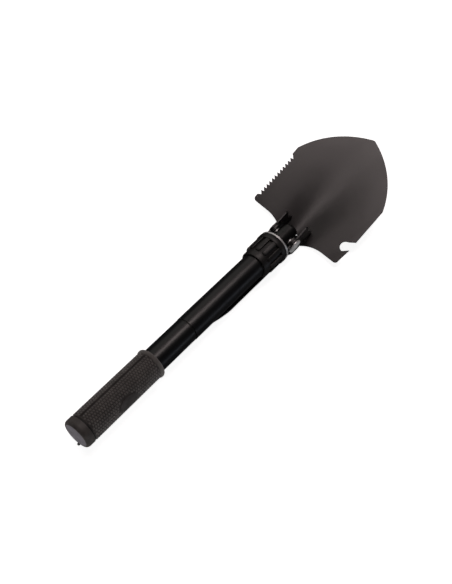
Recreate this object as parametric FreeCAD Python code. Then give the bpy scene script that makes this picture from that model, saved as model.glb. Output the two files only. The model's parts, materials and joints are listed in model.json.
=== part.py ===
"""Folding camp shovel with a saw-toothed blade and a folding pick, open for digging.

Frame: millimetres. The origin is the centre of the flat butt face, +X runs along the handle to the
blade, +Z is the open (concave) side of the blade, and +Y is the saw-toothed edge.
The blade is drawn in its own frame first: hinge pin at the origin, +X to the tip, +Z to the front.
"""
import FreeCAD, Part
import math
import os

V = FreeCAD.Vector

# ---- driving dimensions, mm ------------------------------------------------------------------
GAP = 0.3                # clear air between pieces that move past each other
TUBE_WALL = 1.2
REACH = 30.0             # cutting shapes reach this far past what they cut

# butt end and grip
CAP_R = 13.3
CAP_LENGTH = 7.6
CAP_EDGE = 1.9           # how far the rounded edge comes in at the face
CAP_EDGE_LENGTH = 3.2
CAP_SPIGOT_LENGTH = 14.0
DISC_R = 10.9
DISC_THICK = 1.2
LUG_R = 1.1
LUG_BALL_X = 0.3
LUG_BALL_PROUD = 0.5     # the ball's centre is this far outside the cap
LUG_FOOT_X = 2.8
LUG_FOOT_DEPTH = 2.2
LUG_ANGLE = -13.0       # degrees from straight down towards -Y
LUG_BALL_R = 1.25
ORING_THICK = 0.6
ORING_R = 12.6
GRIP_R = 13.1
GRIP_RIM_R = 13.25
GRIP_END_X = 85.5
GRIP_RIM_LENGTH = 3.0
PAD_CENTRE_X = 45.5
PAD_LENGTH = 19.0
PAD_WIDTH = 10.0
PAD_PROUD = 0.35
PAD_SUNK = 0.9           # the pad is let into the sleeve by this much
PAD_ANGLE = -62.0        # degrees round the grip from +Z towards +Y

# two-piece handle tube
LOWER_R = 11.1
UPPER_R = 11.35
SEAM_X = 126.7           # end of the lower tube
SEAM_RING_THICK = 0.5
SEAM_GAP = 0.25
STUD_R = 8.0
STUD_LENGTH = 15.0
STUD_HEAD_LENGTH = 14.0
UPPER_END_X = 229.0

# hinge head, lock nut and thrust washer
PIN_X = 261.0
HEAD_THREAD_R = UPPER_R
HEAD_THREAD_END_X = 250.6
HEAD_FLAT_MARGIN = 1.5     # side flats on the thread reach this far past the folded ears' ends
HEAD_PLUG_LENGTH = 26.0
NECK_LENGTH = 1.2        # round part of the barrel before its flats
BARREL_R = 9.2
BARREL_END_X = 272.5
TONGUE_HALF = 6.8
CROSS_PIN_X = 222.0
CROSS_PIN_R = 1.5
CROSS_PIN_SUNK = 0.15    # its ends lie this far under the tube's skin
BARREL_DOME = 3.5
THREAD_GAP = 0.4
NUT_X = 217.2
NUT_SKIRT_R = 13.3
NUT_SKIRT_LENGTH = 7.5
NUT_BODY_R = 15.0
NUT_FLANGE_R = 15.7
NUT_FLANGE_X = 240.2
NUT_END_X = 245.7
NUT_SLOTS = 12
NUT_SLOT_ANGLE = 6.0     # degrees of the first slot from +Z towards +Y
NUT_SLOT_X = 228.0
NUT_SLOT_R = 1.6
NUT_SLOT_DEPTH = 1.3
INSERT_R = 13.0
INSERT_X = 233.0
WASHER_X = 246.0
WASHER_THICK = 1.6
WASHER_R = 15.4

# layers on the hinge pin, from the tongue outwards: spacer, pick ear, blade ear, head
EAR_THICK = 1.8
PICK_EAR_THICK = 1.6
SPACER_THICK = 1.8
PIN_R = 3.0
PIN_FIT = 0.05           # radial clearance of the turning ears on the pin
CAM_R = 8.9
EAR_TOP_Z = 7.6          # straight top edge of the blade's ears, parallel to the blade
EAR_END_X = 20.5
EAR_CORNER = 4.0
EAR_NEAR_R = 12.9        # near end of the ears, round about the pin so that it clears the washer
SPACER_R = 4.0
PIN_HEAD_R = 7.0
PIN_HEAD_THICK = 1.9
PIN_END_R = 4.6          # washer under the riveted end
PIN_END_THICK = 1.0

# pick
PICK_TIP = 125.0         # from the pin
PICK_HALF = 10.4
PICK_NEAR_Z = -16.8
PICK_THICK = 3.0
PICK_TAPER = 42.0        # length of the pointed end
PICK_HEEL = 5.0          # web past the pin
PICK_TIP_THICK = 0.8
PICK_LEG_X = 46.0        # the side legs run out into the web here

# blade, in its own frame
BLADE_TILT = 18.5        # degrees that the open blade rises above the handle's line
SHEET = 1.5
RIM_Z = -16.5
BLADE_TIP = 138.0
TIP_ROUND = 3.0
WIDE_X = 84.0
WIDE_HALF = 51.5
NOSE_BULGE = 8.1         # height of the nose arc over its chord
SHOULDER_X = 16.4
SHOULDER_HALF = 50.0
CORNER_R = 3.0
NECK_X = 10.5
NECK_HALF = 12.8
SHOULDER_FLAT = (16.9, 34.0)   # where the shoulder starts to curve into the neck
NECK_CURVE = (15.4, 22.4)
SLOT_HALF = 10.9
SLOT_X = 18.0
SLOT_ROUND = 4.0         # rise of the slot's rounded end
VALLEY_ROOT = 4.6
VALLEY_TIP = 1.2
VALLEY_ROOT_WIDTH = 12.0
VALLEY_TIP_WIDTH = 36.0
DISH_ROOT = 5.4
DISH_TIP = 1.4
SAW_X = 23.9
SAW_PITCH = 3.93
SAW_TEETH = 13
SAW_DEPTH = 3.0
SAW_STEP = 1.4           # the saw's tips stand this far inside the plain edge
NOTCH_X = 34.4           # lip of the bottle-opener notch
NOTCH_MOUTH = 10.0
NOTCH_DEPTH = 10.0

# layer positions worked out from the thicknesses above
SPACER_OUT = TONGUE_HALF + SPACER_THICK
PICK_EAR_IN = SPACER_OUT + GAP
PICK_EAR_OUT = PICK_EAR_IN + PICK_EAR_THICK
BLADE_EAR_IN = PICK_EAR_OUT + GAP
BLADE_EAR_OUT = BLADE_EAR_IN + EAR_THICK
PIN_HEAD_IN = BLADE_EAR_OUT + GAP


# ---- small helpers ---------------------------------------------------------------------------
def rod(radius, x0, x1):
    """A solid bar along the handle's axis."""
    return Part.makeCylinder(radius, x1 - x0, V(x0, 0, 0), V(1, 0, 0))


def pipe(outer, inner, x0, x1):
    return rod(outer, x0, x1).cut(rod(inner, x0 - 1, x1 + 1))


def turned(profile):
    """A solid turned about the handle's axis from a closed outline of (x, radius) points."""
    points = [V(x, 0, r) for x, r in profile]
    face = Part.Face(Part.makePolygon(points + points[:1]))
    return face.revolve(V(0, 0, 0), V(1, 0, 0), 360)


def cross_rod(radius, y0, y1, x=0.0, z=0.0):
    """A solid bar along Y."""
    return Part.makeCylinder(radius, y1 - y0, V(x, y0, z), V(0, 1, 0))


def side_plate(outline, y0, y1):
    """A flat plate across Y from a closed outline of (x, z) points."""
    points = [V(x, y0, z) for x, z in outline]
    face = Part.Face(Part.makePolygon(points + points[:1]))
    return face.extrude(V(0, y1 - y0, 0))


def slab(x0, half):
    """A tall slab along the handle from x0 on, with its faces half away from the middle plane."""
    return Part.makeBox(REACH, 2 * half, 2 * REACH, V(x0, -half, -REACH))


def both_sides(shape):
    """The shape and its mirror image across the middle plane."""
    return [shape, shape.mirror(V(0, 0, 0), V(0, 1, 0))]


def save(name, shape):
    if not shape.isValid():
        print("not valid:", name)
    shape.exportStep("parts/" + name + ".step")
    box = shape.BoundBox
    print("%-22s solids %d  x %.1f..%.1f  y %.1f..%.1f  z %.1f..%.1f  %.0f mm3" % (
        name, len(shape.Solids), box.XMin, box.XMax, box.YMin, box.YMax, box.ZMin, box.ZMax,
        shape.Volume))


# ---- butt end and grip -----------------------------------------------------------------------
def end_cap():
    spigot_r = LOWER_R - TUBE_WALL - GAP
    edge = [(CAP_EDGE_LENGTH * (1 - math.cos(a)), CAP_R - CAP_EDGE * (1 - math.sin(a)))
            for a in [math.radians(15 * i) for i in range(7)]]
    body = turned([(0, 0)] + edge + [(CAP_LENGTH, CAP_R), (CAP_LENGTH, spigot_r),
                   (CAP_LENGTH + CAP_SPIGOT_LENGTH, spigot_r), (CAP_LENGTH + CAP_SPIGOT_LENGTH, 0)])
    return body.cut(rod(DISC_R, -1, DISC_THICK)).cut(lanyard_lug())


def cap_disc():
    return rod(DISC_R, 0, DISC_THICK)


def lanyard_lug():
    """A small round-ended stud in the rim of the cap that a wrist cord loops over."""
    foot = V(LUG_FOOT_X, 0, -CAP_R + LUG_FOOT_DEPTH)
    ball = V(LUG_BALL_X, 0, -CAP_R - LUG_BALL_PROUD)
    stem = Part.makeCylinder(LUG_R, ball.sub(foot).Length, foot, ball.sub(foot))
    stud = stem.fuse(Part.makeSphere(LUG_BALL_R, ball))
    stud.rotate(V(0, 0, 0), V(1, 0, 0), LUG_ANGLE)
    return stud


def cap_oring():
    x0 = CAP_LENGTH + SEAM_GAP
    return pipe(ORING_R, LOWER_R - TUBE_WALL, x0, x0 + ORING_THICK)


GRIP_X = CAP_LENGTH + 2 * SEAM_GAP + ORING_THICK


def grip_body():
    rim = GRIP_END_X - GRIP_RIM_LENGTH
    return turned([(GRIP_X, LOWER_R), (GRIP_X, GRIP_R), (rim, GRIP_R), (rim + 0.5, GRIP_RIM_R),
                   (GRIP_END_X - 1.0, GRIP_RIM_R), (GRIP_END_X, GRIP_RIM_R - 1.0),
                   (GRIP_END_X, LOWER_R)])


def grip_pad_prism():
    """An oval column standing out from the grip at the pad's place."""
    oval = Part.Ellipse(V(0, 0, 0), PAD_LENGTH / 2, PAD_WIDTH / 2).toShape()
    column = Part.Face(Part.Wire(oval)).extrude(V(0, 0, REACH))
    column.translate(V(PAD_CENTRE_X, 0, 0))
    column.rotate(V(0, 0, 0), V(1, 0, 0), -PAD_ANGLE)
    return column


def grip_pad():
    skin = pipe(GRIP_R + PAD_PROUD, GRIP_R - PAD_SUNK, GRIP_X, GRIP_END_X)
    return skin.common(grip_pad_prism())


def grip_sleeve():
    return grip_body().cut(grip_pad())


# ---- two-piece handle ------------------------------------------------------------------------
def lower_tube():
    return pipe(LOWER_R, LOWER_R - TUBE_WALL, GRIP_X, SEAM_X)


def lower_socket():
    """The threaded sleeve fixed in the top of the lower tube."""
    return pipe(LOWER_R - TUBE_WALL, STUD_R + GAP, SEAM_X - STUD_LENGTH, SEAM_X)


def seam_ring():
    x0 = SEAM_X + SEAM_GAP
    return pipe(LOWER_R - 0.35, STUD_R + GAP, x0, x0 + SEAM_RING_THICK)


UPPER_X = SEAM_X + 2 * SEAM_GAP + SEAM_RING_THICK


def upper_stud():
    """The threaded stud fixed in the foot of the upper tube."""
    head = rod(UPPER_R - TUBE_WALL, UPPER_X, UPPER_X + STUD_HEAD_LENGTH)
    return head.fuse(rod(STUD_R, SEAM_X - STUD_LENGTH + 1.0, UPPER_X))


def upper_tube():
    tube = pipe(UPPER_R, UPPER_R - TUBE_WALL, UPPER_X, UPPER_END_X)
    return tube.cut(head_cross_pin())


# ---- hinge head, lock nut, washer ------------------------------------------------------------
def head_cross_pin():
    return cross_rod(CROSS_PIN_R, CROSS_PIN_SUNK - UPPER_R, UPPER_R - CROSS_PIN_SUNK, CROSS_PIN_X)


def hinge_head():
    """Plug in the tube, thread, and a domed barrel that two flats make a tongue.

    The thread has side flats too, where the ends of the folded ears pass it.
    """
    plug = rod(UPPER_R - TUBE_WALL, UPPER_END_X - HEAD_PLUG_LENGTH, UPPER_END_X)
    flats_x = PIN_X - EAR_END_X - HEAD_FLAT_MARGIN
    thread = rod(HEAD_THREAD_R, UPPER_END_X, flats_x)
    flat_thread = rod(HEAD_THREAD_R, flats_x, HEAD_THREAD_END_X).common(slab(flats_x, BLADE_EAR_IN - GAP))
    barrel = turned([(HEAD_THREAD_END_X, 0), (HEAD_THREAD_END_X, BARREL_R),
                     (BARREL_END_X - BARREL_DOME, BARREL_R),
                     (BARREL_END_X - 0.3 * BARREL_DOME, BARREL_R - 0.3 * BARREL_DOME),
                     (BARREL_END_X, BARREL_R - BARREL_DOME), (BARREL_END_X, 0)])
    neck_x = HEAD_THREAD_END_X + NECK_LENGTH
    neck = rod(BARREL_R, HEAD_THREAD_END_X, neck_x)
    tongue = barrel.common(slab(neck_x, TONGUE_HALF))
    head = plug.fuse([thread, flat_thread, neck, tongue]).removeSplitter()
    return head.cut(head_cross_pin()).cut(cross_rod(PIN_R, -REACH, REACH, PIN_X))


def nut_shell():
    bore = UPPER_R + THREAD_GAP
    shoulder = NUT_X + NUT_SKIRT_LENGTH
    body = turned([(NUT_X, bore), (NUT_X, NUT_SKIRT_R - 0.5), (NUT_X + 0.5, NUT_SKIRT_R),
                   (shoulder, NUT_SKIRT_R), (shoulder + 2.0, NUT_BODY_R), (NUT_FLANGE_X, NUT_BODY_R),
                   (NUT_FLANGE_X + 0.8, NUT_FLANGE_R), (NUT_END_X - 0.8, NUT_FLANGE_R),
                   (NUT_END_X, NUT_FLANGE_R - 0.8), (NUT_END_X, INSERT_R), (INSERT_X, INSERT_R),
                   (INSERT_X, bore)])
    slot_end_x = NUT_FLANGE_X - NUT_SLOT_R
    slot = rod(NUT_SLOT_R, NUT_SLOT_X, slot_end_x)
    slot = slot.fuse([Part.makeSphere(NUT_SLOT_R, V(x, 0, 0)) for x in (NUT_SLOT_X, slot_end_x)])
    slot.translate(V(0, 0, NUT_BODY_R + NUT_SLOT_R - NUT_SLOT_DEPTH))
    for i in range(NUT_SLOTS):
        turned_slot = slot.copy()
        angle = -NUT_SLOT_ANGLE + 360.0 * i / NUT_SLOTS
        turned_slot.rotate(V(0, 0, 0), V(1, 0, 0), angle)
        body = body.cut(turned_slot)
    return body


def nut_insert():
    """The threaded metal ring moulded into the nut."""
    return pipe(INSERT_R, HEAD_THREAD_R + THREAD_GAP, INSERT_X, NUT_END_X - GAP)


def thrust_washer():
    return pipe(WASHER_R, HEAD_THREAD_R + THREAD_GAP, WASHER_X, WASHER_X + WASHER_THICK)


# ---- hinge pin and its washers ---------------------------------------------------------------
def pivot_pin():
    shank = cross_rod(PIN_R, -PIN_HEAD_IN, PIN_HEAD_IN + PIN_END_THICK + 0.3, PIN_X)
    head = cross_rod(PIN_HEAD_R, -PIN_HEAD_IN - PIN_HEAD_THICK, -PIN_HEAD_IN, PIN_X)
    rim = [e for e in head.Edges if e.BoundBox.YMax < -PIN_HEAD_IN - PIN_HEAD_THICK + 0.1]
    return shank.fuse(head.makeFillet(1.2, rim))


def retaining_washer():
    disc = cross_rod(PIN_END_R, PIN_HEAD_IN, PIN_HEAD_IN + PIN_END_THICK, PIN_X)
    rim = [e for e in disc.Edges if e.BoundBox.YMin > PIN_HEAD_IN + PIN_END_THICK - 0.1]
    return disc.makeFillet(0.4, rim).cut(cross_rod(PIN_R, 0, REACH, PIN_X))


def spacer_washers():
    ring = cross_rod(SPACER_R, TONGUE_HALF, SPACER_OUT, PIN_X).cut(cross_rod(PIN_R, 0, REACH, PIN_X))
    return Part.makeCompound(both_sides(ring))


# ---- pick, folded along the back of the handle -----------------------------------------------
def pick():
    far_z = PICK_NEAR_Z - PICK_THICK
    tip = V(-PICK_TIP, 0, far_z)
    taper_x = -PICK_TIP + PICK_TAPER
    edges = []
    for side in (1, -1):
        start = V(taper_x, side * PICK_HALF, far_z)
        bulge = V(taper_x - 0.55 * PICK_TAPER, side * PICK_HALF * 0.62, far_z)
        edges.append(Part.Arc(start, bulge, tip).toShape())
        edges.append(Part.makeLine(start, V(PICK_HEEL, side * PICK_HALF, far_z)))
    edges.append(Part.makeLine(V(PICK_HEEL, PICK_HALF, far_z), V(PICK_HEEL, -PICK_HALF, far_z)))
    outline = Part.Wire(Part.__sortEdges__(edges))
    web = Part.Face(outline).extrude(V(0, 0, PICK_THICK))
    wedge = side_plate([(-PICK_TIP - 1, far_z + PICK_TIP_THICK), (-PICK_TIP - 1, 0), (taper_x, 0),
                        (taper_x, PICK_NEAR_Z)], -REACH, REACH)
    web = web.cut(wedge)
    leg = [(-CAM_R * 0.8, 0), (-CAM_R * 0.8, -14.6), (-30, -15.2), (-PICK_LEG_X, PICK_NEAR_Z - 0.2),
           (-PICK_LEG_X, far_z), (PICK_HEEL, far_z), (CAM_R * 0.8, -4.0)]
    parts = [web]
    for shape in both_sides(cross_rod(CAM_R, PICK_EAR_IN, PICK_EAR_OUT)):
        parts.append(shape)
    for shape in both_sides(side_plate(leg, PICK_EAR_IN, PICK_EAR_OUT)):
        parts.append(shape)
    whole = parts[0].fuse(parts[1:]).removeSplitter()
    whole = whole.cut(cross_rod(PIN_R + PIN_FIT, -REACH, REACH))
    whole.translate(V(PIN_X, 0, 0))
    return whole


# ---- blade -----------------------------------------------------------------------------------
def front_height(x, y):
    """Height of the blade's front face: a dish and a valley, both deepest at the root."""
    along = min(max((x - NECK_X) / (BLADE_TIP - NECK_X), 0.0), 1.0)
    rootward = (1.0 - along) ** 1.4
    depth = VALLEY_TIP + (VALLEY_ROOT - VALLEY_TIP) * rootward
    dish = DISH_TIP + (DISH_ROOT - DISH_TIP) * rootward
    width = VALLEY_ROOT_WIDTH + (VALLEY_TIP_WIDTH - VALLEY_ROOT_WIDTH) * along
    across = abs(y) / WIDE_HALF
    return RIM_Z - depth * math.exp(-(y / width) ** 2) - dish * (1.0 - across ** 2)


def front_face():
    rows = []
    for i in range(21):
        x = -6.0 + 150.0 * i / 20
        rows.append([V(x, y, front_height(x, y)) for y in [-56.0 + 4.0 * j for j in range(29)]])
    surface = Part.BSplineSurface()
    surface.interpolate(rows)
    return surface.toShape()


def saw_edge():
    """The saw's points from the wide corner back to the shoulder, along the +Y side."""
    tip_y = WIDE_HALF - SAW_STEP
    points = []
    for i in reversed(range(SAW_TEETH)):
        x = SAW_X + i * SAW_PITCH
        points.append(V(x + SAW_PITCH, tip_y, 0))
        points.append(V(x + 0.25 * SAW_PITCH, tip_y - SAW_DEPTH, 0))
    return points


def notch_edges(edge_y):
    """The bottle-opener notch, from its lip round to its far corner, along the -Y side."""
    lip = V(NOTCH_X, edge_y, 0)
    heel = V(NOTCH_X - 4.8, edge_y + 5.3, 0)
    crown = V(NOTCH_X - 1.0, edge_y + NOTCH_DEPTH, 0)
    roof = V(NOTCH_X + 6.1, edge_y + 5.7, 0)
    mouth = V(NOTCH_X + NOTCH_MOUTH, edge_y, 0)
    return [Part.makeLine(lip, heel), Part.Arc(heel, crown, roof).toShape(),
            Part.makeLine(roof, mouth)], lip, mouth


def nose_arc(side):
    wide = V(WIDE_X, side * WIDE_HALF, 0)
    tip = V(BLADE_TIP, 0, 0)
    chord = tip.sub(wide)
    outward = V(-chord.y, chord.x, 0).normalize().multiply(NOSE_BULGE * side)
    middle = wide.add(tip).multiply(0.5)
    if outward.x < 0:
        outward = outward.negative()
    return Part.Arc(wide, middle.add(outward), tip).toShape()


def blade_outline():
    edges = [nose_arc(1), nose_arc(-1)]
    tip_y = WIDE_HALF - SAW_STEP
    points = [V(WIDE_X, WIDE_HALF, 0), V(SAW_X + SAW_TEETH * SAW_PITCH + 0.6, WIDE_HALF - 0.3, 0)]
    points += saw_edge()
    points += [V(SAW_X - 1.2, tip_y, 0), V(SHOULDER_X + CORNER_R, SHOULDER_HALF, 0)]
    for start, end in zip(points, points[1:]):
        edges.append(Part.makeLine(start, end))
    notch, lip, mouth = notch_edges(-WIDE_HALF)
    edges += notch
    edges.append(Part.makeLine(V(WIDE_X, -WIDE_HALF, 0), mouth))
    edges.append(Part.makeLine(lip, V(SHOULDER_X + CORNER_R, -SHOULDER_HALF, 0)))
    slot_side_x = SLOT_X - SLOT_ROUND
    for side in (1, -1):
        before = V(SHOULDER_X + CORNER_R, side * SHOULDER_HALF, 0)
        after = V(SHOULDER_X, side * (SHOULDER_HALF - CORNER_R), 0)
        middle = V(SHOULDER_X + 0.29 * CORNER_R, side * (SHOULDER_HALF - 0.29 * CORNER_R), 0)
        edges.append(Part.Arc(before, middle, after).toShape())
        flat_end = V(SHOULDER_FLAT[0], side * SHOULDER_FLAT[1], 0)
        edges.append(Part.makeLine(after, flat_end))
        neck = V(NECK_X, side * NECK_HALF, 0)
        bend = V(NECK_CURVE[0], side * NECK_CURVE[1], 0)
        edges.append(Part.Arc(flat_end, bend, neck).toShape())
        mouth = V(NECK_X, side * SLOT_HALF, 0)
        edges.append(Part.makeLine(neck, mouth))
        edges.append(Part.makeLine(mouth, V(slot_side_x, side * SLOT_HALF, 0)))
    edges.append(Part.Arc(V(slot_side_x, SLOT_HALF, 0), V(SLOT_X, 0, 0),
                          V(slot_side_x, -SLOT_HALF, 0)).toShape())
    return Part.Wire(Part.__sortEdges__(edges))


def open_blade(shape):
    """Move a shape from the blade's frame to its place on the open shovel."""
    shape = shape.copy()
    shape.rotate(V(0, 0, 0), V(0, -1, 0), BLADE_TILT)
    shape.translate(V(PIN_X, 0, 0))
    return shape


def blade_sheet(front):
    column = Part.Face(blade_outline()).extrude(V(0, 0, 60))
    column.translate(V(0, 0, -50))
    tip_edge = [e for e in column.Edges
                if e.BoundBox.ZLength > 50 and e.BoundBox.XMin > BLADE_TIP - 0.5]
    column = column.makeFillet(TIP_ROUND, tip_edge)
    sheet = front.extrude(V(0, 0, -SHEET))
    return sheet.common(column)


def hinge_ears(front):
    """Two tall plates welded to the blade, round about the pin, with a straight top edge."""
    corner = [(EAR_END_X - EAR_CORNER * (1 - math.sin(a)), EAR_TOP_Z - EAR_CORNER * (1 - math.cos(a)))
              for a in [math.radians(15 * i) for i in range(7)]]
    top_angle = math.pi - math.asin(EAR_TOP_Z / EAR_NEAR_R)
    near_end = [(EAR_NEAR_R * math.cos(top_angle + a), EAR_NEAR_R * math.sin(top_angle + a))
                for a in [math.radians(8 * i) for i in range(8)]]
    outline = near_end + [(2.0, -26), (27, -26), (27, -19), (EAR_END_X, -10)] + corner[::-1]
    below = front.extrude(V(0, 0, -40))
    plate = side_plate(outline, BLADE_EAR_IN, BLADE_EAR_OUT)
    plate = plate.fuse(cross_rod(CAM_R, BLADE_EAR_IN, BLADE_EAR_OUT)).removeSplitter()
    plate = plate.cut(cross_rod(PIN_R + PIN_FIT, -REACH, REACH))
    return Part.makeCompound([ear.cut(below) for ear in both_sides(plate)])


# ---- build and save --------------------------------------------------------------------------
os.makedirs("parts", exist_ok=True)
front = front_face()
save("end_cap", end_cap())
save("cap_disc", cap_disc())
save("lanyard_lug", lanyard_lug())
save("cap_oring", cap_oring())
save("grip_sleeve", grip_sleeve())
save("grip_pad", grip_pad())
save("lower_tube", lower_tube())
save("lower_socket", lower_socket())
save("seam_ring", seam_ring())
save("upper_stud", upper_stud())
save("upper_tube", upper_tube())
save("head_cross_pin", head_cross_pin())
save("hinge_head", hinge_head())
save("nut_shell", nut_shell())
save("nut_insert", nut_insert())
save("thrust_washer", thrust_washer())
save("pivot_pin", pivot_pin())
save("retaining_washer", retaining_washer())
save("spacer_washers", spacer_washers())
save("pick", pick())
save("blade", open_blade(blade_sheet(front)))
save("hinge_ears", open_blade(hinge_ears(front)))
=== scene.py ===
# %% [markdown]
# # A folding camp shovel
# This notebook gives a small folding shovel its looks. The metal parts, the hinge and everything
# that turns or slides come from the CAD frame, which is loaded first and never moved. Each step
# below says what one piece or finish is on the real tool, how it could be made, and why it is made
# this way here. Lengths are metres, and one millimetre is written as MM.

# %% Load the frame
import json
import math

import bmesh
import bpy
from mathutils import Matrix, Vector
from mathutils.bvhtree import BVHTree


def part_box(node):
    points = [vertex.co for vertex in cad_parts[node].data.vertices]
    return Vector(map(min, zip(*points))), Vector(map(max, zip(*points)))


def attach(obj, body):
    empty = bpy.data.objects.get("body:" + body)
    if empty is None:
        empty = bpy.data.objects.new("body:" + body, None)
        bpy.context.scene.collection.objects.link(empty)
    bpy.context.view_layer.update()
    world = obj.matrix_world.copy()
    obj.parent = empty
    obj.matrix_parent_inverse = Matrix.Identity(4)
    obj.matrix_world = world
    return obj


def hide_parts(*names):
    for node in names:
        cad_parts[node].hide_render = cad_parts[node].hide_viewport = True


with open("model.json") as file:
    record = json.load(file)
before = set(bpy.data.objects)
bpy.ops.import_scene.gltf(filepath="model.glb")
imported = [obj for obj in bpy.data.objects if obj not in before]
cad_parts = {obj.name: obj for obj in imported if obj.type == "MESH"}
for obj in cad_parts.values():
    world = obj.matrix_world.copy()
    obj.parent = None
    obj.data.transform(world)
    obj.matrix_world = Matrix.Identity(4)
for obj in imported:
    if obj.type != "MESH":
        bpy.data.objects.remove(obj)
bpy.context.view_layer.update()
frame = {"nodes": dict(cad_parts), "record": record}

MM = 0.001
nodes = frame["nodes"]

# %% [markdown]
# ## Sizes the looks are built from
# Most places are read from the frame: the grip, the nut and the blade know where they start and
# end. Sizes that the frame's boxes can't tell, such as the pitch of the pips on the grip or the
# radius under a thread, are named numbers in millimetres beside the piece that needs them.

# %% Places read from the frame
grip_low, grip_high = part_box("grip_sleeve")
nut_low, nut_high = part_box("nut_shell")
pin_low, pin_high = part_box("pivot_pin")
tube_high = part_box("lower_tube")[1]
cap_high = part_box("end_cap")[1]
pin_x = (pin_low.x + pin_high.x) / 2
print("hinge pin at x =", round(pin_x / MM, 1), "mm")


# %% [markdown]
# ## Camera
# The tool is seen from above and behind its butt end, a little to its right, at arm's length. A
# 50 mm lens on a 36 mm sensor keeps the long handle from stretching. The camera is placed by
# where it stands and the three directions of its frame, so that the handle runs up the picture's
# diagonal.

# %% Camera
def aim_camera(location, forward, up, lens):
    """Place the scene's camera from a point, the way it looks and its up direction."""
    data = bpy.data.cameras.new("camera")
    data.lens = lens
    data.sensor_fit = "AUTO"
    data.sensor_width = 36.0
    data.clip_start, data.clip_end = 0.01, 20.0
    camera = bpy.data.objects.new("camera", data)
    bpy.context.scene.collection.objects.link(camera)
    back = -Vector(forward).normalized()
    side = Vector(up).cross(back).normalized()
    true_up = back.cross(side)
    turn = Matrix((side, true_up, back)).transposed().to_4x4()
    camera.matrix_world = Matrix.Translation(Vector(location)) @ turn
    bpy.context.scene.camera = camera
    return camera


camera = aim_camera(location=(-0.1547, -0.1434, 0.5972), forward=(0.4772, 0.2051, -0.8545),
                    up=(0.6079, 0.6252, 0.4896), lens=50.0)
print("camera stands", round(camera.location.length, 3), "m from the butt")

# %% [markdown]
# ## Floor and light
# The tool lies on its folded pick, so the floor is at the pick's lowest point. Black metal shows
# what it mirrors and little else, so the room is dark apart from a few soft boxes. A wide one
# hangs over the blade and a narrow one lights the valley in its middle. A long low one stands on
# the saw's side and lights that flank of the tubes, a very faint one fills in the stripe of light
# on top of them, and a dim cool one picks out their other edge. The white sweep glows by itself,
# which keeps the floor clean, and is hidden from reflections so that the black stays black.

# %% Floor and light
scene = bpy.context.scene
scene.view_settings.view_transform = "Standard"


def srgb(hex_code):
    """An sRGB hex colour as linear RGBA."""
    parts = [int(hex_code[i:i + 2], 16) / 255 for i in (1, 3, 5)]
    linear = [p / 12.92 if p <= 0.04045 else ((p + 0.055) / 1.055) ** 2.4 for p in parts]
    return (*linear, 1.0)


def add(tree, kind, inputs=None, **settings):
    """Add one node: settings by attribute name, inputs by name or number, as values or sockets."""
    node = tree.nodes.new(kind)
    for key, value in settings.items():
        setattr(node, key, value)
    for key, value in (inputs or {}).items():
        if isinstance(value, bpy.types.NodeSocket):
            tree.links.new(value, node.inputs[key])
        else:
            node.inputs[key].default_value = value
    return node


def soft_box(name, place, look_at, size, radiance, colour):
    """A rectangular soft box that faces a point; radiance is how bright its cloth looks."""
    data = bpy.data.lights.new(name, "AREA")
    data.shape = "RECTANGLE"
    data.size, data.size_y = size
    data.energy = radiance * math.pi * size[0] * size[1]
    data.color = srgb(colour)[:3]
    light = bpy.data.objects.new(name, data)
    scene.collection.objects.link(light)
    light.location = place
    light.visible_camera = False
    ahead = (Vector(look_at) - Vector(place)).normalized()
    along = Vector((1, 0, 0)) - ahead * ahead.x
    along.normalize()
    upward = (-ahead).cross(along)
    light.matrix_world = Matrix.Translation(Vector(place)) @ Matrix(
        (along, upward, -ahead)).transposed().to_4x4()
    return light


def make_floor():
    floor_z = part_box("pick")[0].z
    half = 4.0
    mesh = bpy.data.meshes.new("floor")
    corners = [(-half, -half, floor_z), (half, -half, floor_z), (half, half, floor_z),
               (-half, half, floor_z)]
    mesh.from_pydata(corners, [], [(0, 1, 2, 3)])
    floor = bpy.data.objects.new("floor", mesh)
    scene.collection.objects.link(floor)
    paint = bpy.data.materials.new("white_sweep_paper")
    paint.use_nodes = True
    shader = paint.node_tree.nodes["Principled BSDF"]
    shader.inputs["Base Color"].default_value = srgb("#FAFAFA")
    shader.inputs["Roughness"].default_value = 0.95
    shader.inputs["Emission Color"].default_value = srgb("#FFFFFF")
    shader.inputs["Emission Strength"].default_value = 0.9
    mesh.materials.append(paint)
    floor.visible_glossy = False
    return floor


def make_world(room, backdrop):
    """A dim room that lights the tool, behind a white backdrop that only the camera sees."""
    world = bpy.data.worlds.new("studio")
    scene.world = world
    world.use_nodes = True
    tree = world.node_tree
    dim = tree.nodes["Background"]
    dim.inputs["Color"].default_value = srgb("#FFFFFF")
    dim.inputs["Strength"].default_value = room
    white = add(tree, "ShaderNodeBackground", {"Color": srgb("#FFFFFF"), "Strength": backdrop})
    path = add(tree, "ShaderNodeLightPath")
    chosen = add(tree, "ShaderNodeMixShader", {0: path.outputs["Is Camera Ray"],
                                               1: dim.outputs[0], 2: white.outputs[0]})
    tree.links.new(chosen.outputs[0], tree.nodes["World Output"].inputs["Surface"])


make_world(room=0.03, backdrop=1.0)
floor = make_floor()
middle = (0.25, 0, 0)
soft_box("blade_box", (0.62, 0.16, 1.2), (0.35, 0, 0), (0.44, 0.50), 4.4, "#FFF0EE")
soft_box("valley_box", (0.10, 0.25, 1.2), (0.30, 0, 0), (0.36, 0.22), 5.0, "#FFF0EE")
soft_box("tube_box", (0.97, 0.09, 1.2), (0.18, 0, 0), (0.60, 0.09), 0.05, "#FFF4EE")
soft_box("side_box", (0.55, 1.0, 0.75), middle, (1.8, 0.9), 0.46, "#FFFAF5")
soft_box("rim_box", (0.50, -1.2, 0.10), middle, (1.6, 0.14), 1.3, "#E6EEFF")
print("floor at z =", round(floor.data.vertices[0].co.z / MM, 1), "mm")


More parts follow.
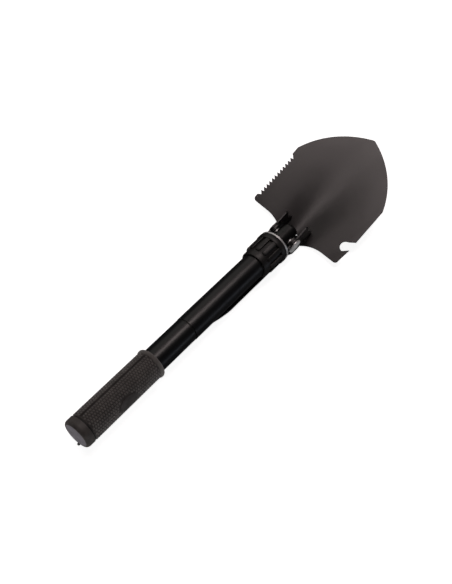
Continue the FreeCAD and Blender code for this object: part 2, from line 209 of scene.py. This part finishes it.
# %% [markdown]
# ## Finishes
# Every material below starts from what the real surface is. Patterns are measured in
# millimetres on Object coordinates, so they stay put when a joint moves.

# %% Material helper
def new_finish(name, roughness, metallic=0.0, ior=None, coat=0.0, coat_roughness=0.1):
    """A material, its tree and shader, and Object coordinates in millimetres."""
    material = bpy.data.materials.new(name)
    material.use_nodes = True
    tree = material.node_tree
    shader = tree.nodes["Principled BSDF"]
    shader.inputs["Roughness"].default_value = roughness
    shader.inputs["Metallic"].default_value = metallic
    if ior is not None:
        shader.inputs["IOR"].default_value = ior
    shader.inputs["Coat Weight"].default_value = coat
    shader.inputs["Coat Roughness"].default_value = coat_roughness
    place = add(tree, "ShaderNodeTexCoord")
    scaled = add(tree, "ShaderNodeVectorMath", {0: place.outputs["Object"], "Scale": 1000.0},
                 operation="SCALE")
    return material, tree, shader, scaled.outputs[0]


def speckle(tree, where, grain_mm, detail=2.0):
    """A noise whose blobs are about grain_mm across."""
    return add(tree, "ShaderNodeTexNoise", {"Vector": where, "Scale": 0.5 / grain_mm,
                                            "Detail": detail, "Roughness": 0.55}).outputs[0]


def mix_colours(tree, factor, dark, light):
    ramp = add(tree, "ShaderNodeValToRGB", {0: factor})
    ramp.color_ramp.elements[0].position = 0.35
    ramp.color_ramp.elements[1].position = 0.65
    ramp.color_ramp.elements[0].color = srgb(dark)
    ramp.color_ramp.elements[1].color = srgb(light)
    return ramp.outputs[0]


def vary_roughness(tree, shader, factor, low, high):
    spread = add(tree, "ShaderNodeMapRange", {"Value": factor, "From Min": 0.3, "From Max": 0.7,
                                              "To Min": low, "To Max": high})
    tree.links.new(spread.outputs[0], shader.inputs["Roughness"])


def bump(tree, shader, height, depth_mm, strength=1.0):
    """Raise the surface by a height pattern; depth_mm is the height of a full step."""
    node = add(tree, "ShaderNodeBump", {"Height": height, "Strength": strength,
                                        "Distance": depth_mm * MM})
    tree.links.new(node.outputs[0], shader.inputs["Normal"])


# %% [markdown]
# ### Powder-coated blade steel
# The blade is pressed from sheet steel and powder coated a dark warm grey. Powder coat flows out
# to a fine orange peel, blobs about a millimetre across, and its satin skin gives a broad, dim
# highlight. A slow drift of tone keeps the large face from looking flat.

# %% Powder coat
def powder_coat():
    material, tree, shader, where = new_finish("powder_coated_steel", 0.34, ior=1.5)
    drift = speckle(tree, where, 18.0, 3.0)
    peel = speckle(tree, where, 0.9, 1.0)
    tree.links.new(mix_colours(tree, drift, "#221F1F", "#292626"), shader.inputs["Base Color"])
    vary_roughness(tree, shader, drift, 0.31, 0.38)
    bump(tree, shader, peel, 0.02, 0.3)
    return material


# %% [markdown]
# ### Satin black lacquer on steel
# The pick, the hinge ears and the hinge head are steel with a thin black lacquer. It is smoother
# than powder coat, so it keeps a narrower highlight, with faint handling marks.

# %% Black lacquer
def black_lacquer():
    material, tree, shader, where = new_finish("black_lacquered_steel", 0.35, ior=1.5)
    drift = speckle(tree, where, 6.0, 3.0)
    fine = speckle(tree, where, 0.35, 2.0)
    tree.links.new(mix_colours(tree, drift, "#050505", "#0A0909"), shader.inputs["Base Color"])
    vary_roughness(tree, shader, fine, 0.30, 0.42)
    bump(tree, shader, fine, 0.01, 0.3)
    return material


# %% [markdown]
# ### Black anodised aluminium
# The two handle tubes are drawn aluminium, black anodised. Drawing leaves fine lines along the
# tube, and the anodised skin is satin, so the tube shows one soft stripe of light.

# %% Black anodised tube
def black_anodised():
    material, tree, shader, where = new_finish("black_anodised_aluminium", 0.34, ior=1.5)
    along = add(tree, "ShaderNodeMapping", {"Vector": where, "Scale": (0.02, 1.0, 1.0)})
    lines = speckle(tree, along.outputs[0], 0.25, 2.0)
    drift = speckle(tree, where, 9.0, 2.0)
    tree.links.new(mix_colours(tree, drift, "#08080A", "#0E0E0F"), shader.inputs["Base Color"])
    vary_roughness(tree, shader, lines, 0.30, 0.39)
    bump(tree, shader, lines, 0.006, 0.4)
    return material


# %% [markdown]
# ### Moulded nylon
# The lock nut is black glass-filled nylon from a mould with a fine spark-eroded texture: dull in
# the grooves and rubbed slightly shiny on the ribs.

# %% Moulded nylon
def moulded_nylon():
    material, tree, shader, where = new_finish("moulded_black_nylon", 0.45, ior=1.53)
    grain = speckle(tree, where, 0.3, 2.0)
    drift = speckle(tree, where, 5.0, 2.0)
    tree.links.new(mix_colours(tree, drift, "#110F0F", "#1B1918"), shader.inputs["Base Color"])
    vary_roughness(tree, shader, grain, 0.38, 0.52)
    bump(tree, shader, grain, 0.02, 0.4)
    return material


# %% [markdown]
# ### Grip rubber
# The grip is dark grey thermoplastic rubber. It has no clear highlight, only a soft sheen, and its
# grey wanders between warmer and cooler patches. The hollows round the pips are painted darker than
# their crowns, partly as dirt and partly as painted shade, so the tone follows the distance from
# the handle's axis.

# %% Grip rubber
def grip_rubber():
    material, tree, shader, where = new_finish("grip_rubber_with_painted_shade", 0.72, ior=1.5)
    drift = speckle(tree, where, 4.0, 4.0)
    grain = speckle(tree, where, 0.25, 2.0)
    crown = mix_colours(tree, drift, "#565250", "#686461")
    # Hollow colour: darker partly as dirt and partly as painted shade between the pips.
    hollow_shade_and_dirt = mix_colours(tree, drift, "#33302E", "#3F3B39")
    across = add(tree, "ShaderNodeVectorMath", {0: where, 1: (0.0, 1.0, 1.0)}, operation="MULTIPLY")
    radius = add(tree, "ShaderNodeVectorMath", {0: across.outputs[0]}, operation="LENGTH")
    # Mask from the skin up to the pip crowns: the hollows near the skin get the painted shade.
    height = add(tree, "ShaderNodeMapRange", {"Value": radius.outputs["Value"],
                                              "From Min": (grip_high.z - 0.45 * MM) / MM,
                                              "From Max": (grip_high.z - 0.10 * MM) / MM})
    tone = add(tree, "ShaderNodeMix", {0: height.outputs[0], 6: hollow_shade_and_dirt, 7: crown}, data_type="RGBA")
    tree.links.new(tone.outputs[2], shader.inputs["Base Color"])
    shader.inputs["Sheen Weight"].default_value = 0.15
    shader.inputs["Sheen Roughness"].default_value = 0.5
    vary_roughness(tree, shader, grain, 0.62, 0.80)
    bump(tree, shader, grain, 0.03, 0.5)
    return material


# %% [markdown]
# ### Cap plastic and its lighter disc
# The end cap is dark ABS with a fine matte texture. The disc let into its face is a lighter
# purple-grey of the same plastic, a little smoother.

# %% Cap plastics
def cap_plastic(name, dark, light, rough):
    material, tree, shader, where = new_finish(name, rough, ior=1.5)
    drift = speckle(tree, where, 3.0, 3.0)
    grain = speckle(tree, where, 0.2, 2.0)
    tree.links.new(mix_colours(tree, drift, dark, light), shader.inputs["Base Color"])
    vary_roughness(tree, shader, grain, rough - 0.06, rough + 0.06)
    bump(tree, shader, grain, 0.015, 0.4)
    return material


# %% [markdown]
# ### Zinc plate
# The thrust washer, the hinge pin and its washers are steel with a bright zinc plate. It is a
# metal, so most of its colour is in its reflection, but the milky film that passivates the zinc
# scatters some light too, so it isn't fully metallic here. The plating has a faint cloudy spangle.

# %% Zinc plate
def zinc_plate():
    material, tree, shader, where = new_finish("bright_zinc_plate", 0.4, metallic=0.6)
    cloud = speckle(tree, where, 1.5, 3.0)
    fine = speckle(tree, where, 0.15, 1.0)
    tree.links.new(mix_colours(tree, cloud, "#D9DADB", "#F0F0EE"), shader.inputs["Base Color"])
    vary_roughness(tree, shader, cloud, 0.34, 0.46)
    bump(tree, shader, fine, 0.004, 0.3)
    return material


# %% [markdown]
# ### Seal rubber
# The rings in the two screw joints are black nitrile, soft and dull.

# %% Seal rubber
def seal_rubber():
    material, tree, shader, where = new_finish("black_nitrile_rubber", 0.6, ior=1.5)
    drift = speckle(tree, where, 1.0, 2.0)
    tree.links.new(mix_colours(tree, drift, "#0C0C0C", "#151515"), shader.inputs["Base Color"])
    vary_roughness(tree, shader, drift, 0.5, 0.7)
    return material


# %% Finishes by slot
finishes = {
    "blade_steel": powder_coat(),
    "black_steel": black_lacquer(),
    "black_tube": black_anodised(),
    "nut_plastic": moulded_nylon(),
    "grip_rubber": grip_rubber(),
    "cap_plastic": cap_plastic("moulded_cap_abs", "#403C3A", "#4E4A47", 0.55),
    "disc_plastic": cap_plastic("smooth_disc_abs", "#77737A", "#848087", 0.5),
    "zinc_steel": zinc_plate(),
    "seal_rubber": seal_rubber(),
}
for entry in frame["record"]["subparts"]:
    mesh = nodes[entry["node"]].data
    mesh.materials.clear()
    mesh.materials.append(finishes[entry["material_slot"]])
nodes["grip_pad"].data.materials[0] = cap_plastic("smooth_pad_rubber", "#3A3634", "#454140", 0.62)
print("finishes:", ", ".join(sorted(finishes)))

# %% [markdown]
# ## Geometry Nodes helpers
# Pips and ribs repeat by a rule, so Geometry Nodes place them: one small shape is made once and
# instanced on computed points. The sizes are named inputs of the tree. The result is realised
# and turned into a plain mesh, because a finished piece carries no modifier.

# %% Geometry Nodes helpers
def new_tree(name, sizes):
    """A geometry tree with one float input for each named size, and its output node."""
    tree = bpy.data.node_groups.new(name, "GeometryNodeTree")
    tree.interface.new_socket("Geometry", in_out="OUTPUT", socket_type="NodeSocketGeometry")
    for label in sizes:
        tree.interface.new_socket(label, in_out="INPUT", socket_type="NodeSocketFloat")
    return tree, tree.nodes.new("NodeGroupInput").outputs, tree.nodes.new("NodeGroupOutput")


def math_node(tree, operation, first, second=0.0):
    return add(tree, "ShaderNodeMath", {0: first, 1: second}, operation=operation).outputs[0]


def run_tree(name, tree, sizes):
    """Evaluate a geometry tree with the given sizes and return a plain mesh object."""
    holder = bpy.data.objects.new(name + "_holder", bpy.data.meshes.new(name + "_holder"))
    scene.collection.objects.link(holder)
    modifier = holder.modifiers.new("nodes", "NODES")
    modifier.node_group = tree
    sockets = [item for item in tree.interface.items_tree if item.in_out == "INPUT"]
    for socket in sockets:
        modifier[socket.identifier] = float(sizes[socket.name])
    graph = bpy.context.evaluated_depsgraph_get()
    mesh = bpy.data.meshes.new_from_object(holder.evaluated_get(graph), depsgraph=graph)
    mesh.name = name
    bpy.data.objects.remove(holder)
    piece = bpy.data.objects.new(name, mesh)
    scene.collection.objects.link(piece)
    return piece


def finish_tree(tree, geometry, out, material):
    real = add(tree, "GeometryNodeRealizeInstances", {"Geometry": geometry}).outputs[0]
    done = add(tree, "GeometryNodeSetMaterial", {"Geometry": real, "Material": material}).outputs[0]
    tree.links.new(done, out.inputs[0])


def tidy_mesh(piece, smooth_angle=35.0):
    """Merge doubles, point the faces outwards and shade smooth except across sharp edges."""
    work = bmesh.new()
    work.from_mesh(piece.data)
    bmesh.ops.remove_doubles(work, verts=work.verts, dist=0.005 * MM)
    bmesh.ops.recalc_face_normals(work, faces=work.faces)
    limit = math.radians(smooth_angle)
    for face in work.faces:
        face.smooth = True
    for edge in work.edges:
        edge.smooth = edge.is_manifold and edge.calc_face_angle(math.pi) < limit
    work.to_mesh(piece.data)
    work.free()
    return piece


def lathe(name, profile, steps, material, groove=None):
    """A closed ring turned about the handle's axis from an outline of (x, radius) in metres.

    A groove is (angle, number of steps, depth, x start, x end), cut along the ring's outside.
    """
    points = []
    faces = []
    count = len(profile)
    outside = max(radius for x, radius in profile) - 2 * MM
    for step in range(steps):
        angle = 2 * math.pi * step / steps
        sink = [0.0] * count
        if groove:
            middle, wide, depth, start, end = groove
            away = abs(step - round(middle / (2 * math.pi) * steps))
            if 2 * away < wide:
                sink = [depth if start <= x <= end and radius > outside else 0.0
                        for x, radius in profile]
        points += [(x, (radius - low) * math.sin(angle), (radius - low) * math.cos(angle))
                   for (x, radius), low in zip(profile, sink)]
    for step in range(steps):
        here, there = step * count, (step + 1) % steps * count
        for i in range(count):
            j = (i + 1) % count
            faces.append((here + i, here + j, there + j, there + i))
    mesh = bpy.data.meshes.new(name)
    mesh.from_pydata(points, [], faces)
    mesh.materials.append(material)
    piece = bpy.data.objects.new(name, mesh)
    scene.collection.objects.link(piece)
    return tidy_mesh(piece)


# %% [markdown]
# ## The grip
# The grip is a rubber sleeve moulded over the tube. Its skin is covered with small oblong pips in
# staggered rows, split by a plain groove that runs its whole length, and a rounded rim ends it. A
# smooth oval pad is let into one side. Pips in the bump map would vanish on the outline and would
# be missing from the mesh, so they are real: a low rounded block, instanced on a grid of points
# that is wrapped round the sleeve.

# %% Grip sizes
PIP_PITCH = 2.3 * MM
PIPS_ROUND = 32
PIP_LONG = 1.6 * MM
PIP_WIDE = 2.0 * MM
PIP_HIGH = 0.42 * MM
PIP_SQUARENESS = 0.55                  # 1 makes a round pip, 0 a square one
PIP_ROOT = 0.3                         # share of its height that is sunk in the sleeve
GROOVE_ANGLE = math.radians(26.0)      # from +Z towards +Y
GROOVE_HALF = math.radians(4.0)
GROOVE_DEEP = 0.9 * MM
RIM_LONG = 4.2 * MM
RIM_PROUD = 0.8 * MM                   # over the pips
grip_radius = grip_high.z
skin_radius = grip_radius - PIP_HIGH
tube_radius = tube_high.z
print("pips per row:", int((grip_high.x - grip_low.x - RIM_LONG) / PIP_PITCH), "rows:", PIPS_ROUND)


# %% Grip body
def grip_body():
    """The sleeve without its pips, with a groove, a soft lip and a raised rim at the top."""
    start, end = grip_low.x, grip_high.x
    rim = end - RIM_LONG
    lip = [(start, tube_radius), (start, skin_radius - 0.5 * MM),
           (start + 0.15 * MM, skin_radius - 0.15 * MM), (start + 0.5 * MM, skin_radius)]
    groove_start, groove_end = start + 1.0 * MM, rim - 0.6 * MM
    ends = [(groove_start, skin_radius), (groove_start + 0.3 * MM, skin_radius),
            (groove_end - 0.3 * MM, skin_radius), (groove_end, skin_radius)]
    top = [(rim - 0.2 * MM, skin_radius + 0.1 * MM)]
    for i in range(11):
        angle = math.pi * i / 10
        top.append((rim + RIM_LONG / 2 - RIM_LONG / 2 * math.cos(angle),
                    grip_radius - 0.5 * MM + (0.5 * MM + RIM_PROUD) * math.sin(angle)))
    top.append((end, tube_radius))
    groove = (GROOVE_ANGLE, 3, GROOVE_DEEP, groove_start + 0.1 * MM, groove_end - 0.1 * MM)
    return lathe("grip_skin", lip + ends + top, 180, finishes["grip_rubber"], groove)


# %% Grip pips
def pip_block():
    """One low rounded block, its long side along X and its top towards +Z."""
    rings = [(1.0, 0.0), (0.98, 0.55), (0.84, 0.9), (0.5, 1.0)]
    work = bmesh.new()
    loops = []
    for spread, height in rings:
        loop = []
        for i in range(8):
            angle = 2 * math.pi * (i + 0.5) / 8
            along, across = [abs(v) ** PIP_SQUARENESS * math.copysign(1, v)
                             for v in (math.cos(angle), math.sin(angle))]
            loop.append(work.verts.new((along * PIP_LONG / 2 * spread,
                                        across * PIP_WIDE / 2 * spread,
                                        height * PIP_HIGH * 1.3 - PIP_ROOT * PIP_HIGH)))
        loops.append(loop)
    for low, high in zip(loops, loops[1:]):
        for i in range(8):
            work.faces.new((low[i], low[(i + 1) % 8], high[(i + 1) % 8], high[i]))
    work.faces.new(loops[-1])
    work.faces.new(loops[0][::-1])
    mesh = bpy.data.meshes.new("pip")
    work.to_mesh(mesh)
    work.free()
    return bpy.data.objects.new("pip", mesh)


def pip_tree(pip):
    """Rows of pips round the sleeve, staggered by half a pitch, left out of groove and pad."""
    tree, given, out = new_tree("grip_pips", [
        "Start", "Pitch", "Radius", "Per row", "Rows", "Groove", "Groove half", "Pad x",
        "Pad angle", "Pad long", "Pad wide"])
    total = math_node(tree, "MULTIPLY", given["Per row"], given["Rows"])
    index = add(tree, "GeometryNodeInputIndex").outputs[0]
    row = math_node(tree, "FLOOR", math_node(tree, "DIVIDE", math_node(tree, "ADD", index, 0.5),
                                             given["Per row"]))
    place = math_node(tree, "SUBTRACT", index, math_node(tree, "MULTIPLY", row, given["Per row"]))
    stagger = math_node(tree, "MULTIPLY", math_node(tree, "FLOORED_MODULO", row, 2.0), 0.5)
    along = math_node(tree, "MULTIPLY", math_node(tree, "ADD", place, stagger), given["Pitch"])
    x = math_node(tree, "ADD", given["Start"], along)
    share = math_node(tree, "DIVIDE", math_node(tree, "ADD", row, 0.5), given["Rows"])
    groove_wide = math_node(tree, "MULTIPLY", given["Groove half"], 2.0)
    free = math_node(tree, "SUBTRACT", 2 * math.pi, groove_wide)
    angle = math_node(tree, "ADD", math_node(tree, "ADD", given["Groove"], given["Groove half"]),
                      math_node(tree, "MULTIPLY", share, free))
    y = math_node(tree, "MULTIPLY", given["Radius"], math_node(tree, "SINE", angle))
    z = math_node(tree, "MULTIPLY", given["Radius"], math_node(tree, "COSINE", angle))
    where = add(tree, "ShaderNodeCombineXYZ", {0: x, 1: y, 2: z}).outputs[0]
    line = add(tree, "GeometryNodePoints", {"Count": total, "Position": where}).outputs[0]
    off_x = math_node(tree, "DIVIDE", math_node(tree, "SUBTRACT", x, given["Pad x"]),
                      given["Pad long"])
    turn = math_node(tree, "WRAP", math_node(tree, "SUBTRACT", angle, given["Pad angle"]), math.pi)
    turn.node.inputs[2].default_value = -math.pi
    off_y = math_node(tree, "DIVIDE", math_node(tree, "MULTIPLY", turn, given["Radius"]),
                      given["Pad wide"])
    apart = math_node(tree, "ADD", math_node(tree, "MULTIPLY", off_x, off_x),
                      math_node(tree, "MULTIPLY", off_y, off_y))
    keep = math_node(tree, "GREATER_THAN", apart, 1.0)
    shape = add(tree, "GeometryNodeObjectInfo", {"Object": pip}).outputs["Geometry"]
    back = math_node(tree, "MULTIPLY", angle, -1.0)
    tilt = add(tree, "ShaderNodeCombineXYZ", {0: back}).outputs[0]
    set_out = add(tree, "GeometryNodeInstanceOnPoints", {"Points": line, "Selection": keep,
                                                         "Instance": shape, "Rotation": tilt})
    finish_tree(tree, set_out.outputs[0], out, finishes["grip_rubber"])
    return tree


pad_low, pad_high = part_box("grip_pad")
pad_angle = math.atan2((pad_low.y + pad_high.y) / 2, (pad_low.z + pad_high.z) / 2)
per_row = int((grip_high.x - grip_low.x - RIM_LONG - 1.4 * MM) / PIP_PITCH - 0.5) + 1
pips = run_tree("grip_pips", pip_tree(pip_block()), {
    "Start": grip_low.x + 1.7 * MM, "Pitch": PIP_PITCH, "Radius": skin_radius, "Per row": per_row,
    "Rows": PIPS_ROUND, "Groove": GROOVE_ANGLE, "Groove half": GROOVE_HALF,
    "Pad x": (pad_low.x + pad_high.x) / 2, "Pad angle": pad_angle,
    "Pad long": (pad_high.x - pad_low.x) / 2 + 1.2 * MM, "Pad wide": 6.2 * MM})
skin = grip_body()
for piece in (skin, pips):
    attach(piece, "lower_handle")
for polygon in pips.data.polygons:
    polygon.use_smooth = True
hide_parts("grip_sleeve")
print("grip triangles:", sum(len(p.vertices) - 2 for o in (skin, pips) for p in o.data.polygons))

# %% [markdown]
# ## The lock nut
# The nut is moulded nylon over a threaded metal ring: a plain skirt, a body with long finger
# slots, and a smooth collar at the washer. Hands find it in the dark by its slots, so they are
# real recesses. The body is turned between the slots' floor and its outer skin, and each land
# between two slots is one rounded bar, instanced round the axis by Geometry Nodes.

# %% Nut sizes
NUT_SLOTS = 12
SLOT_ANGLE = math.radians(6.0)         # middle of the first slot, from +Z towards +Y
SLOT_WIDE = 3.2 * MM
SLOT_DEEP = 1.9 * MM
COLLAR_LONG = 5.6 * MM
SKIRT_LONG = 7.5 * MM
skirt_radius = 13.3 * MM
collar_radius = nut_high.z
body_radius = collar_radius - 0.6 * MM
nut_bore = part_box("nut_insert")[1].z
tube_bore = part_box("upper_tube")[1].z + 0.4 * MM
print("nut mm: collar", round(collar_radius / MM, 1), "bore", round(tube_bore / MM, 2))


# %% Nut core
def nut_core():
    """Skirt, slot floor and collar in one turned outline, with rounded edges."""
    start, end = nut_low.x, nut_high.x
    shoulder = start + SKIRT_LONG
    collar = end - COLLAR_LONG
    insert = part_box("nut_insert")[0].x
    floor_radius = body_radius - SLOT_DEEP
    outline = [(start, tube_bore), (start, skirt_radius - 0.9 * MM),
               (start + 0.3 * MM, skirt_radius - 0.3 * MM),
               (start + 0.9 * MM, skirt_radius), (shoulder - 0.4 * MM, skirt_radius),
               (shoulder + 0.4 * MM, floor_radius), (collar - 0.2 * MM, floor_radius),
               (collar, floor_radius + 0.2 * MM), (collar, body_radius + 0.2 * MM),
               (collar + 0.4 * MM, collar_radius - 0.1 * MM), (collar + 0.9 * MM, collar_radius),
               (end - 0.8 * MM, collar_radius), (end - 0.2 * MM, collar_radius - 0.3 * MM),
               (end, collar_radius - 0.9 * MM), (end, nut_bore), (insert, nut_bore),
               (insert, tube_bore)]
    return lathe("nut_core", outline, 120, finishes["nut_plastic"])


# %% Nut lands
def nut_land():
    """One bar between two slots: flat ends, rounded long edges, its back inside the core."""
    start = nut_low.x + SKIRT_LONG - 0.6 * MM
    end = nut_high.x - COLLAR_LONG + 0.3 * MM
    half = (2 * math.pi * body_radius / NUT_SLOTS - SLOT_WIDE) / 2
    sink = SLOT_DEEP + 0.6 * MM
    section = [(-half, -sink), (-half, -0.5 * MM), (-half + 0.15 * MM, -0.2 * MM),
               (-half + 0.5 * MM, 0.0)]
    section += [(half * i / 3, 0.0) for i in (-1.5, 0, 1.5)]
    section += [(half - 0.5 * MM, 0.0), (half - 0.15 * MM, -0.2 * MM), (half, -0.5 * MM),
                (half, -sink)]
    stations = [(start, -0.9 * MM, 0.86), (start + 0.7 * MM, -0.5 * MM, 0.94),
                (start + 1.8 * MM, 0.0, 1.0), (end, 0.0, 1.0)]
    work = bmesh.new()
    loops = []
    for x, lower, squeeze in stations:
        loop = []
        for across, height in section:
            angle = across * squeeze / body_radius
            radius = body_radius + max(height + lower, -sink)
            loop.append(work.verts.new((x, radius * math.sin(angle), radius * math.cos(angle))))
        loops.append(loop)
    count = len(section)
    for low, high in zip(loops, loops[1:]):
        for i in range(count):
            work.faces.new((low[i], low[(i + 1) % count], high[(i + 1) % count], high[i]))
    work.faces.new(loops[0])
    work.faces.new(loops[-1][::-1])
    bmesh.ops.recalc_face_normals(work, faces=work.faces)
    mesh = bpy.data.meshes.new("nut_land")
    work.to_mesh(mesh)
    work.free()
    return bpy.data.objects.new("nut_land", mesh)


def ring_tree(name, shape, material):
    """Copies of a shape spread evenly round the handle's axis."""
    tree, given, out = new_tree(name, ["Count", "First angle"])
    index = add(tree, "GeometryNodeInputIndex").outputs[0]
    step = math_node(tree, "DIVIDE", 2 * math.pi, given["Count"])
    angle = math_node(tree, "ADD", given["First angle"], math_node(tree, "MULTIPLY", index, step))
    back = math_node(tree, "MULTIPLY", angle, -1.0)
    turn = add(tree, "ShaderNodeCombineXYZ", {0: back}).outputs[0]
    points = add(tree, "GeometryNodePoints", {"Count": given["Count"]}).outputs[0]
    bar = add(tree, "GeometryNodeObjectInfo", {"Object": shape}).outputs["Geometry"]
    placed = add(tree, "GeometryNodeInstanceOnPoints", {"Points": points, "Instance": bar,
                                                        "Rotation": turn})
    finish_tree(tree, placed.outputs[0], out, material)
    return tree


core = nut_core()
lands = run_tree("nut_lands", ring_tree("nut_lands", nut_land(), finishes["nut_plastic"]),
                 {"Count": NUT_SLOTS, "First angle": SLOT_ANGLE + math.pi / NUT_SLOTS})
tidy_mesh(lands, 50.0)
for piece in (core, lands):
    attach(piece, "nut_body")
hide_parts("nut_shell")
print("nut triangles:", sum(len(p.vertices) - 2 for o in (core, lands) for p in o.data.polygons))

# %% [markdown]
# ## Screw threads
# Three screw threads come into view when the joints open: on the hinge head under the nut, on the
# stud that joins the tubes, and on the cap's spigot. A cut thread is one ridge that climbs the
# bar by its pitch each turn, so it is made that way: a low trapezoid swept along a helix, fading
# into the bar at both ends. Each ridge keeps inside the gap its counterpart leaves for it.

# %% Threads
def thread_ridge(name, body, slot, start, end, radius, pitch, height, flat=None):
    """One helical ridge from x start to end.

    flat is (half width in y, x from which it holds), for a bar with two flats on its sides.
    """
    section = [(-0.42, -0.35), (-0.14, 1.0), (0.14, 1.0), (0.42, -0.35)]
    per_turn = 36
    fade_steps = 9
    count = int((end - start - pitch) / pitch * per_turn)
    points = []
    faces = []
    for step in range(count + 1):
        angle = 2 * math.pi * step / per_turn
        middle = start + pitch / 2 + pitch * step / per_turn
        fade = min(1.0, step / fade_steps, (count - step) / fade_steps)
        for along, lift in section:
            out = radius + (height * lift * fade if lift > 0 else height * lift)
            y, z = out * math.sin(angle), out * math.cos(angle)
            if flat and abs(y) > flat[0] and middle > flat[1]:
                y = math.copysign(flat[0], y)
            points.append((middle + along * pitch, y, z))
    for step in range(count):
        for i in range(4):
            a, b = step * 4 + i, step * 4 + (i + 1) % 4
            faces.append((a, b, b + 4, a + 4))
    faces += [(3, 2, 1, 0), (count * 4, count * 4 + 1, count * 4 + 2, count * 4 + 3)]
    mesh = bpy.data.meshes.new(name)
    mesh.from_pydata(points, [], faces)
    mesh.materials.append(finishes[slot])
    piece = bpy.data.objects.new(name, mesh)
    scene.collection.objects.link(piece)
    tidy_mesh(piece, 25.0)
    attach(piece, body)
    return piece


NUT_PITCH, STUD_PITCH, CAP_PITCH = 2.5 * MM, 2.0 * MM, 1.5 * MM
HEAD_THREAD = (229.8 * MM, 250.2 * MM)     # x from and to
HEAD_THREAD_RADIUS = 11.35 * MM
HEAD_FLATS = (10.45 * MM, 238.5 * MM)      # half width in y, and the x they start at
STUD_THREAD_END = 126.2 * MM
STUD_RADIUS = 8.0 * MM
CAP_THREAD_START = 9.2 * MM
SPIGOT_RADIUS = 9.6 * MM
stud_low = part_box("upper_stud")[0]
thread_ridge("head_thread", "upper_handle", "black_steel", *HEAD_THREAD, HEAD_THREAD_RADIUS,
             NUT_PITCH, 0.3 * MM, flat=HEAD_FLATS)
thread_ridge("stud_thread", "upper_handle", "zinc_steel", stud_low.x + 0.4 * MM, STUD_THREAD_END,
             STUD_RADIUS, STUD_PITCH, 0.2 * MM)
thread_ridge("cap_thread", "butt_cap", "cap_plastic", CAP_THREAD_START, cap_high.x - 0.4 * MM,
             SPIGOT_RADIUS, CAP_PITCH, 0.2 * MM)
print("threads cut: hinge head, stud, cap")

# %% [markdown]
# ## Softened steel edges
# A pressed and cut sheet has no perfect edges: deburring and a thick coat of powder round them,
# and each rounded edge catches a hair of light. The CAD meshes have sharp edges, so the blade,
# its ears and the pick are copied, merged, given a narrow bevel on their sharp edges and shaded
# smooth. The copy stays in the place of the original.

# %% Softened copies
def softened(node, body, slot, width, segments=2):
    """A merged copy of a CAD node with a narrow rounded bevel on its sharp edges."""
    piece = bpy.data.objects.new(node + "_soft", nodes[node].data.copy())
    scene.collection.objects.link(piece)
    work = bmesh.new()
    work.from_mesh(piece.data)
    bmesh.ops.remove_doubles(work, verts=work.verts, dist=0.002 * MM)
    bmesh.ops.dissolve_limit(work, angle_limit=math.radians(0.4), verts=work.verts,
                             edges=work.edges)
    bmesh.ops.dissolve_degenerate(work, dist=0.01 * MM, edges=work.edges)
    for face in work.faces:
        face.smooth = True
    work.to_mesh(piece.data)
    work.free()
    bevel = piece.modifiers.new("bevel", "BEVEL")
    bevel.width = width
    bevel.segments = segments
    bevel.limit_method = "ANGLE"
    bevel.angle_limit = math.radians(40)
    bevel.use_clamp_overlap = True
    bevel.harden_normals = False
    shade = piece.modifiers.new("weighted", "WEIGHTED_NORMAL")
    shade.keep_sharp = True
    graph = bpy.context.evaluated_depsgraph_get()
    mesh = bpy.data.meshes.new_from_object(piece.evaluated_get(graph), depsgraph=graph)
    piece.modifiers.clear()
    piece.data = mesh
    mesh.materials.clear()
    mesh.materials.append(finishes[slot])
    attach(piece, body)
    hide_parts(node)
    print(node, "faces", len(mesh.polygons))
    return piece


blade = softened("blade", "blade_body", "blade_steel", 0.35 * MM)
softened("hinge_ears", "blade_body", "black_steel", 0.35 * MM)
softened("pick", "pick_body", "black_steel", 0.4 * MM)

# %% [markdown]
# ## Weld beads
# The ears are plates welded to the pressed blade. A weld is laid as a row of small overlapping
# puddles, so each bead is a lumpy rod that follows the corner between ear and blade. The corner
# is found by looking straight down onto the blade beside the ear.

# %% Weld beads
EAR_OUT = 12.6 * MM                    # outer face of each ear
BEAD_RADIUS = 1.2 * MM
BEAD_STEPS = 44
BEAD_SIDES = 10
PUDDLE_STEPS = 5.5                     # steps from one puddle of the weld to the next


def weld_bead(name, side, x_from, x_to):
    """A lumpy rod along the foot of one ear, sunk to half its height in the blade."""
    tree = BVHTree.FromPolygons([v.co for v in blade.data.vertices],
                                [p.vertices for p in blade.data.polygons])
    path = []
    for step in range(BEAD_STEPS + 1):
        x = x_from + (x_to - x_from) * step / BEAD_STEPS
        y = side * (EAR_OUT + 0.3 * MM)
        hit = tree.ray_cast(Vector((x, y, 0.05)), Vector((0, 0, -1)))[0]
        if hit is not None:
            path.append(hit)
    last = len(path) - 1
    work = bmesh.new()
    loops = []
    for step, point in enumerate(path):
        ahead = (path[min(step + 1, last)] - path[max(step - 1, 0)]).normalized()
        across = Vector((0, 1, 0))
        upward = ahead.cross(across)
        lump = 0.86 + 0.14 * abs(math.sin(math.pi * step / PUDDLE_STEPS))
        taper = min(1.0, 0.3 + step / 4, 0.3 + (last - step) / 4)
        reach = BEAD_RADIUS * lump * taper
        loops.append([work.verts.new(point + (across * math.cos(a) + upward * math.sin(a)) * reach)
                      for a in [2 * math.pi * i / BEAD_SIDES for i in range(BEAD_SIDES)]])
    for low, high in zip(loops, loops[1:]):
        for i in range(BEAD_SIDES):
            j = (i + 1) % BEAD_SIDES
            work.faces.new((low[i], low[j], high[j], high[i]))
    work.faces.new(loops[0])
    work.faces.new(loops[-1])
    mesh = bpy.data.meshes.new(name)
    work.to_mesh(mesh)
    work.free()
    mesh.materials.append(finishes["blade_steel"])
    bead = bpy.data.objects.new(name, mesh)
    scene.collection.objects.link(bead)
    tidy_mesh(bead, 60.0)
    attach(bead, "blade_body")
    return bead


for side_name, side in (("left", 1), ("right", -1)):
    bead = weld_bead("weld_bead_" + side_name, side, 276.5 * MM, 287.0 * MM)
    print(bead.name, "faces", len(bead.data.polygons))
